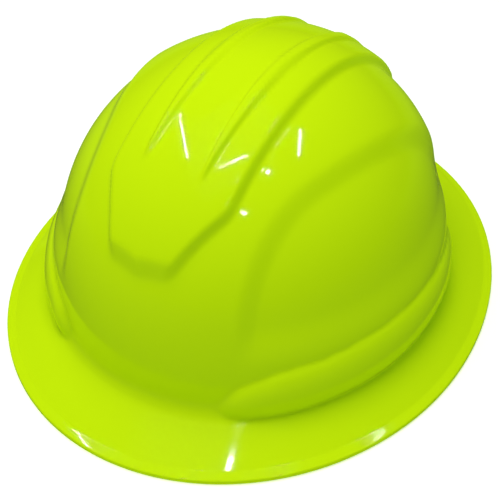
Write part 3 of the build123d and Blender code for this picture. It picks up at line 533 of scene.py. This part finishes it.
def make_stitches():
    """Sewing thread through both layers at each strap's ends: every stitch is a short half sunk bead, a
    circle that swells and shrinks along its length, on both outer faces of the doubled webbing."""
    along = np.linspace(-1.0, 1.0, STITCH_ROWS)
    turn = np.linspace(0.0, 2 * pi, STITCH_COLUMNS, endpoint=False)
    radius = STITCH_THICKNESS / 2 * np.sqrt(np.clip(1.0 - along**2, STITCH_TIP, 1.0))[:, None]
    rings = (along[:, None] * STITCH_LENGTH / 2, radius * np.cos(turn), radius * np.sin(turn))
    bead = np.stack(np.broadcast_arrays(*rings), axis=-1)
    ends = end_fans(STITCH_ROWS, STITCH_COLUMNS)
    outer_face = STRAP_THICKNESS / 2
    inner_face = -STRAP_THICKNESS - FOLD_GAP - STRAP_THICKNESS / 2
    points, quads, caps = [], [], []
    for path, across in strap_lines:
        length, ways = lengths(path), directions(path)
        for end in (0, 1):
            for distance, side, slant in STITCHES:
                place = length[-1] - distance if end else distance
                at = np.array([np.interp(place, length, path[:, i]) for i in range(3)])
                way = np.array([np.interp(place, length, ways[:, i]) for i in range(3)])
                normal = np.cross(across, way)
                heading = way * cos(slant) + across * sin(slant)
                aside = np.cross(normal, heading)
                for out in (outer_face, inner_face):
                    first = len(points) * STITCH_ROWS * STITCH_COLUMNS
                    centre = at + across * side - normal * out
                    points.append(centre + bead @ np.stack([heading, aside, normal]))
                    quads.append(grid_faces(STITCH_ROWS, STITCH_COLUMNS, first))
                    caps.append(ends + first)
    points = np.concatenate([stitch.reshape(-1, 3) for stitch in points])
    return make_piece("sewing_thread", points, np.concatenate(quads), np.concatenate(caps))


stitches = make_stitches()
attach(stitches, "cradle")


def oval_path(out, start, end, count):
    """Plan points round the headband, out from its inner face, between two angles. The front is longer."""
    turn = np.linspace(start, end, count)
    reach = np.where(np.sin(turn) < 0, BAND_INNER_FRONT, BAND_INNER_BACK)
    way = np.stack([np.cos(turn) / BAND_INNER_HALF, np.sin(turn) / reach], axis=-1)
    way /= np.linalg.norm(way, axis=-1, keepdims=True)
    plan = np.stack([BAND_INNER_HALF * np.cos(turn), reach * np.sin(turn) - CROWN_FORWARD], axis=-1)
    return plan + out * way, way


def make_pad(name, out, start, end, low, high, channel):
    """A sewn foam pad round part of the headband. Its section is a power oval, flat where it rests on the
    band and crowned towards the head. Its ends draw in over a half round, and sewn channels pull its face
    in every so often along its length, where the square of a cosine comes near one."""
    plan, way = oval_path(out, start, end, PAD_ROWS)
    length = lengths(plan)
    total = length[-1]
    closeness = np.clip(np.minimum(length, total - length) / ((high - low) / 2), 0.0, 1.0)
    taper = np.sqrt(1.0 - (1.0 - closeness) ** 2)[:, None]
    turn = np.linspace(0.0, 2 * pi, PAD_COLUMNS, endpoint=False)[None]
    inward, upward = np.cos(turn), np.sin(turn)
    reach = (high - low) / 2 * (PAD_END_HEIGHT + (1.0 - PAD_END_HEIGHT) * taper)
    height = (low + high) / 2 + np.sign(upward) * np.abs(upward) ** PAD_UP_POWER * reach
    seam = np.cos(pi * length / total * max(2, round(total / channel)))[:, None] ** 2
    pull = np.clip((seam - (1.0 - CHANNEL_WIDTH)) / CHANNEL_WIDTH, 0.0, 1.0) ** CHANNEL_POWER
    groove = 1.0 - CHANNEL_DEPTH * pull * taper
    depth = PAD_THICKNESS * (PAD_END_THICKNESS + (1.0 - PAD_END_THICKNESS) * taper) * groove
    edge = PAD_RIM * PAD_THICKNESS
    face = edge + (depth - edge) * np.clip(inward, 0.0, None) ** PAD_IN_POWER
    across = -np.where(inward > 0, face, edge * (1.0 + inward))
    points = np.concatenate([plan[:, None] + across[..., None] * way[:, None], height[..., None]], axis=-1)
    poles = np.stack([points[0].mean(axis=0), points[-1].mean(axis=0)])
    points = np.concatenate([points.reshape(-1, 3), poles])
    quads, caps = grid_faces(PAD_ROWS, PAD_COLUMNS), pole_fans(PAD_ROWS, PAD_COLUMNS)
    uv = grid_uv(length, turn[0] * (high - low) / pi)
    uv = np.concatenate([uv, uv[:1], uv[-1:]])
    piece = make_piece(name + "_cover", points, quads, caps, uv)
    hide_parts(name)
    return piece


brow_turn = np.arcsin((BROW_PAD_BACK + CROWN_FORWARD) / BAND_INNER_FRONT)
brow_heights = (BAND_FOOT + PAD_MARGIN, BAND_FOOT + BAND_HEIGHT - PAD_MARGIN)
brow_pad = make_pad("brow_pad", -PAD_GAP, pi - brow_turn, 2 * pi + brow_turn, *brow_heights, BROW_CHANNEL)
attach(brow_pad, "headband")
nape_out = CASING_LOW - PAD_GAP
nape_turn = np.arccos(CASING_HALF / (BAND_INNER_HALF + nape_out))
nape_heights = (CASING_FOOT + PAD_MARGIN, CASING_FOOT + CASING_HEIGHT - PAD_MARGIN)
nape_pad = make_pad("nape_pad", nape_out, nape_turn, pi - nape_turn, *nape_heights, NAPE_CHANNEL)
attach(nape_pad, "nape")

# Tails: welded copies of the solids between the headband, where they are buttoned, and the ratchet
tails = []
for hand in ("left", "right"):
    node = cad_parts["rack_strap_" + hand]
    tail = bpy.data.objects.new(f"tail_{hand}", node.data.copy())
    bpy.context.scene.collection.objects.link(tail)
    welded = bmesh.new()
    welded.from_mesh(tail.data)
    bmesh.ops.remove_doubles(welded, verts=welded.verts, dist=WELD_DISTANCE * MM)
    welded.to_mesh(tail.data)
    welded.free()
    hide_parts("rack_strap_" + hand)
    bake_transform(tail)
    tails.append(tail)


def linear(code):
    """An sRGB hex colour turned to the linear values that shaders use."""
    parts = [int(code[i : i + 2], 16) / 255 for i in (1, 3, 5)]
    return tuple(p / 12.92 if p <= 0.04045 else ((p + 0.055) / 1.055) ** 2.4 for p in parts) + (1.0,)


def add_node(tree, kind, links=None, **settings):
    """Adds a node, sets its properties and inputs, and links outputs of other nodes into its inputs."""
    node = tree.nodes.new(kind)
    for name, value in settings.items():
        if hasattr(node, name):
            setattr(node, name, value)
        else:
            node.inputs[name.replace("_", " ")].default_value = value
    for socket, source in (links or {}).items():
        tree.links.new(source, node.inputs[socket])
    return node


def add_math(tree, operation, *values):
    """The result of a maths node on numbers or other nodes' outputs."""
    node = add_node(tree, "ShaderNodeMath", operation=operation)
    for socket, value in enumerate(values):
        if isinstance(value, bpy.types.NodeSocket):
            tree.links.new(value, node.inputs[socket])
        else:
            node.inputs[socket].default_value = value
    return node.outputs[0]


def add_range(tree, value, **limits):
    """A value moved from one range to another, and held to it."""
    return add_node(tree, "ShaderNodeMapRange", {"Value": value}, **limits).outputs["Result"]


def add_mix(tree, factor, first, second):
    """A mix of two colours, each a hex code or another node's output."""
    node = add_node(tree, "ShaderNodeMix", {"Factor": factor}, data_type="RGBA")
    for socket, colour in (("A", first), ("B", second)):
        if isinstance(colour, str):
            node.inputs[socket].default_value = linear(colour)
        else:
            tree.links.new(colour, node.inputs[socket])
    return node.outputs["Result"]


def add_noise(tree, **settings):
    """Noise at the piece's own places, in metres."""
    place = add_node(tree, "ShaderNodeTexCoord").outputs["Object"]
    return add_node(tree, "ShaderNodeTexNoise", {"Vector": place}, **settings).outputs["Fac"]


def add_bump(tree, shader, height, strength, distance):
    """A shader's bump from a height, where 0 to 1 is so many metres."""
    bump = add_node(tree, "ShaderNodeBump", {"Height": height}, Strength=strength, Distance=distance)
    tree.links.new(bump.outputs["Normal"], shader.inputs["Normal"])


def new_finish(name, colour, **values):
    """A material with one Principled shader, and the shader for its pattern to be linked to."""
    finish = bpy.data.materials.new(name)
    finish.use_nodes = True
    shader = finish.node_tree.nodes["Principled BSDF"]
    shader.inputs["Base Color"].default_value = linear(colour)
    for socket, value in values.items():
        shader.inputs[socket.replace("_", " ")].default_value = value
    return finish, finish.node_tree, shader


# Injection moulded polyethylene, fluorescent lime: very glossy, with the mould's faint waviness and scuffs
lime, tree, shader = new_finish("moulded_lime_polyethylene", "#D2EE0A", Roughness=0.06, IOR=1.5)
add_bump(tree, shader, add_noise(tree, Scale=28.0, Detail=2.0), 0.05, 0.002)
scuffs = add_noise(tree, Scale=160.0, Detail=6.0, Roughness=0.7)
tree.links.new(add_range(tree, scuffs, To_Min=0.04, To_Max=0.08), shader.inputs["Roughness"])
shell.data.materials.append(lime)
pockets.data.materials.append(lime)


def new_moulding(name, colour, roughness, grain_size, depth):
    """A moulded plastic whose skin copies a spark eroded tool: fine pits of a real size in metres, with
    gloss that varies a little from place to place."""
    finish, tree, shader = new_finish(name, colour, Roughness=roughness, IOR=1.5)
    add_bump(tree, shader, add_noise(tree, Scale=1.0 / grain_size, Detail=3.0), depth, 0.0003)
    patches = add_noise(tree, Scale=60.0, Detail=4.0)
    gloss = add_range(tree, patches, To_Min=roughness - 0.06, To_Max=roughness + 0.08)
    tree.links.new(gloss, shader.inputs["Roughness"])
    return finish


# Injection moulded nylon 6, black: tough keys with a matte spark eroded skin
key_nylon = new_moulding("spark_eroded_black_nylon", "#1E1F20", 0.46, 0.0009, 0.45)
# Injection moulded low density polyethylene, dark grey: the soft waxy skin of a band that has to bend
band_polyethylene = new_moulding("waxy_grey_polyethylene", "#3A3C3E", 0.40, 0.0016, 0.20)
# Injection moulded ABS, dark grey, finely grained
casing_abs = new_moulding("grained_grey_abs", "#2A2B2D", 0.38, 0.0007, 0.35)
# Overmoulded thermoplastic rubber, black: nearly no gloss, so a wet hand still turns it
knob_rubber = new_moulding("matte_black_thermoplastic_rubber", "#17181A", 0.62, 0.0006, 0.50)
# Moulded acetal, natural white: slightly milky and slick, used for gears
gear_acetal = new_moulding("milky_white_acetal", "#E6E5DE", 0.30, 0.0020, 0.08)

# Zinc plated steel, turned: bright, with faint rings round the shaft. The rings are 0.25 mm apart, about
# four times as coarse as turning leaves them, so that they show. At scale 1 the wave repeats every 0.314.
screw_steel, tree, shader = new_finish("turned_zinc_plated_steel", "#C3C8CC", Metallic=1.0, Roughness=0.28)
place = add_node(tree, "ShaderNodeTexCoord").outputs["Object"]
centred = add_node(tree, "ShaderNodeMapping", {"Vector": place}, Location=(0.0, 0.0, -AXLE_HEIGHT))
rings = add_node(
    tree, "ShaderNodeTexWave", {"Vector": centred.outputs["Vector"]}, wave_type="RINGS",
    rings_direction="Y", Scale=0.314 / TURNED_RING_STEP, Distortion=0.4,
)
add_bump(tree, shader, rings.outputs["Fac"], 0.15, 0.0001)


def new_cloth(name, colour, shade, warp, weft, depth, sheen):
    """A woven cloth on the piece's own UV map, in metres. Two sines, each as long as two threads, are
    multiplied, which gives the raised and sunk squares of a plain weave. The sunk ones take painted shade:
    they are mixed towards the darker colour, with random tone from noise."""
    finish, tree, shader = new_finish(name, colour, Roughness=0.85, Sheen_Weight=sheen, Sheen_Roughness=0.5)
    uv = add_node(tree, "ShaderNodeUVMap").outputs["UV"]
    split = add_node(tree, "ShaderNodeSeparateXYZ", {"Vector": uv})
    waves = []
    for axis, spacing in (("X", warp), ("Y", weft)):
        phase = add_math(tree, "MULTIPLY", split.outputs[axis], 2 * pi / spacing)
        waves.append(add_math(tree, "SINE", phase))
    height = add_range(tree, add_math(tree, "MULTIPLY", *waves), From_Min=-1.0, From_Max=1.0)
    add_bump(tree, shader, height, depth, 0.0006)
    # Painted shade: the weave's low places are mixed towards the darker colour, and noise adds random tone
    hollow_shade_and_fleck = add_math(tree, "MULTIPLY", height, add_noise(tree, Scale=900.0, Detail=2.0))
    tree.links.new(add_mix(tree, hollow_shade_and_fleck, shade, colour), shader.inputs["Base Color"])
    return finish


# Woven polyester webbing, off white: thick threads 1.1 mm and 1.4 mm apart, a slight sheen, and grey
# painted shade in the weave's hollows
webbing_cloth = new_cloth("woven_polyester_webbing", "#FBFAF6", "#C2C1BA", 0.0022, 0.0028, 0.9, 0.15)
# Polyester sewing thread, white
thread_values = {"Roughness": 0.6, "Sheen_Weight": 0.2}
thread_cloth, tree, shader = new_finish("polyester_sewing_thread", "#FBFAF5", **thread_values)
add_bump(tree, shader, add_noise(tree, Scale=3000.0, Detail=1.0), 0.4, 0.0002)
# Brushed polyester knit over foam, charcoal: soft and dull, its fine stitches 0.9 mm apart, with near
# black painted shade in their hollows
pad_cloth = new_cloth("brushed_polyester_knit", "#45474A", "#17181A", 0.0018, 0.0018, 0.7, 0.35)

for strap in straps:
    strap.data.materials.append(webbing_cloth)
stitches.data.materials.append(thread_cloth)
for pad in (brow_pad, nape_pad):
    pad.data.materials.append(pad_cloth)
for tail in tails:
    tail.data.materials.clear()
    tail.data.materials.append(band_polyethylene)

NODE_FINISHES = {
    "shell": lime,
    "key_front_left": key_nylon,
    "key_front_right": key_nylon,
    "key_side_left": key_nylon,
    "key_side_right": key_nylon,
    "key_rear_left": key_nylon,
    "key_rear_right": key_nylon,
    "crown_strap_side": webbing_cloth,
    "crown_strap_left_front": webbing_cloth,
    "crown_strap_right_front": webbing_cloth,
    "headband": band_polyethylene,
    "brow_pad": pad_cloth,
    "nape_pad": pad_cloth,
    "rack_strap_left": band_polyethylene,
    "rack_strap_right": band_polyethylene,
    "strap_buttons": key_nylon,
    "nape_housing": casing_abs,
    "nape_cover": casing_abs,
    "pinion": gear_acetal,
    "ratchet_disc": gear_acetal,
    "knob": knob_rubber,
    "knob_screw": screw_steel,
}
for node_name, finish in NODE_FINISHES.items():
    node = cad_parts[node_name]
    if not node.material_slots:
        node.data.materials.append(finish)
    for holder in node.material_slots:
        holder.material = finish


# Camera
camera = bpy.data.objects.new("camera", bpy.data.cameras.new("camera"))
bpy.context.scene.collection.objects.link(camera)
camera.data.lens = CAMERA_LENS
camera.data.clip_end = CAMERA_REACH
azimuth, elevation, roll = radians(CAMERA_AZIMUTH), radians(CAMERA_ELEVATION), radians(CAMERA_ROLL)
back = Vector((sin(azimuth) * cos(elevation), -cos(azimuth) * cos(elevation), sin(elevation)))
right = Vector((cos(azimuth), sin(azimuth), 0.0))
ahead = Vector((-sin(azimuth), cos(azimuth), 0.0))
above = back.cross(right)
rolled_right = right * cos(roll) + above * sin(roll)
rolled_above = above * cos(roll) - right * sin(roll)
facing = Matrix((rolled_right, rolled_above, back)).transposed().to_4x4()
camera.matrix_world = Matrix.Translation(CAMERA_PLACE) @ facing
bpy.context.scene.camera = camera

# Studio: a white paper floor, an even surround, a soft lamp overhead and one below for the hat's inside
bpy.context.scene.view_settings.view_transform = "Standard"
world = bpy.data.worlds.new("studio")
bpy.context.scene.world = world
world.use_nodes = True
tree = world.node_tree
surround = tree.nodes["Background"].inputs
seen = add_node(tree, "ShaderNodeLightPath").outputs
tree.links.new(add_mix(tree, seen["Is Camera Ray"], SURROUND_TINT, "#FFFFFF"), surround["Color"])
dimmed = add_range(tree, seen["Is Glossy Ray"], To_Min=SURROUND_LEVEL, To_Max=MIRROR_LEVEL)
strength = add_node(tree, "ShaderNodeMapRange", {"Value": seen["Is Camera Ray"], "To Min": dimmed})
tree.links.new(strength.outputs["Result"], surround["Strength"])

# The floor lies just below the rim, so that the two faces don't share a plane
floor_corners = ((-1, -1), (1, -1), (1, 1), (-1, 1))
floor_points = np.array([[x * FLOOR_HALF, y * FLOOR_HALF, -FLOOR_DROP] for x, y in floor_corners])
floor = make_piece("floor", floor_points, np.array([[0, 1, 2, 3]]))
paper, tree, shader = new_finish("studio_paper", PAPER, Roughness=0.95, Specular_IOR_Level=0.0)
shader.inputs["Emission Color"].default_value = linear("#FFFFFF")
seen = add_node(tree, "ShaderNodeLightPath").outputs
spot = add_node(tree, "ShaderNodeTexCoord").outputs["Object"]
away = add_node(tree, "ShaderNodeVectorMath", {0: spot}, operation="LENGTH").outputs["Value"]
near, far = PAPER_GLOW_REACH
level = add_range(tree, away, From_Min=near, From_Max=far, To_Min=PAPER_LEVEL, To_Max=FAR_PAPER_LEVEL)
glow = add_math(tree, "MULTIPLY", seen["Is Camera Ray"], level)
tree.links.new(glow, shader.inputs["Emission Strength"])
# Painted reflection: to mirrored rays alone the paper behind the hat is lime, which the edges of the skin
# that the camera sees aslant then mirror
behind = add_node(tree, "ShaderNodeVectorMath", {0: spot}, operation="DOT_PRODUCT")
behind.inputs[1].default_value = ahead
lime_reflection_share = add_range(tree, behind.outputs["Value"], From_Min=0.0, From_Max=MIRRORED_FAR_REACH)
mirrored = add_mix(tree, lime_reflection_share, MIRRORED_PAPER, MIRRORED_FAR_PAPER)
tree.links.new(add_mix(tree, seen["Is Glossy Ray"], PAPER, mirrored), shader.inputs["Base Color"])
# Seen from below the paper isn't there, and it stops no light, so that the hat's inside can be looked at
below = add_node(tree, "ShaderNodeNewGeometry").outputs["Backfacing"]
gone = add_math(tree, "MAXIMUM", below, seen["Is Shadow Ray"])
clear = add_node(tree, "ShaderNodeBsdfTransparent").outputs[0]
sheet = add_node(tree, "ShaderNodeMixShader", {0: gone, 1: shader.outputs[0], 2: clear})
tree.links.new(sheet.outputs[0], tree.nodes["Material Output"].inputs["Surface"])
floor.data.materials.append(paper)


def add_lamp(name, place, power):
    """A soft square lamp that looks at the hat, and that the gloss doesn't mirror."""
    lamp = bpy.data.lights.new(name, "AREA")
    lamp.shape = "RECTANGLE"
    lamp.size = lamp.size_y = LAMP_SIZE
    lamp.energy = power
    lamp.color = linear(LAMP_TINT)[:3]
    holder = bpy.data.objects.new(name, lamp)
    holder.location = place
    holder.rotation_euler = (Vector(place) - Vector(LAMP_AIM)).to_track_quat("Z", "Y").to_euler()
    holder.visible_glossy = False
    bpy.context.scene.collection.objects.link(holder)


add_lamp("overhead_lamp", OVERHEAD_LAMP_PLACE, OVERHEAD_LAMP_POWER)
add_lamp("lower_lamp", LOWER_LAMP_PLACE, LOWER_LAMP_POWER)


def make_light_strips():
    """Rows of small square lights overhead and some single ones. Only the gloss sees them, and they light
    nothing that is matt."""
    points = []
    for start, end, count, half in LIGHT_ROWS:
        for share in np.linspace(0.0, 1.0, count):
            side, far = (a + (b - a) * share for a, b in zip(start, end))
            middle = right * side + ahead * far + Vector((0.0, 0.0, LIGHT_HEIGHT))
            corners = ((-1, -1), (-1, 1), (1, 1), (1, -1))
            points += [(middle + right * half * a + ahead * half * b) / MM for a, b in corners]
    piece = make_piece("light_strips", np.array(points), np.arange(len(points)).reshape(-1, 4))
    glare, _, shader = new_finish("diode_light", "#FFFFFF", Roughness=1.0)
    shader.inputs["Emission Color"].default_value = linear("#FFFFFF")
    shader.inputs["Emission Strength"].default_value = LIGHT_LEVEL
    piece.data.materials.append(glare)
    piece.visible_camera = piece.visible_diffuse = piece.visible_shadow = False


make_light_strips()
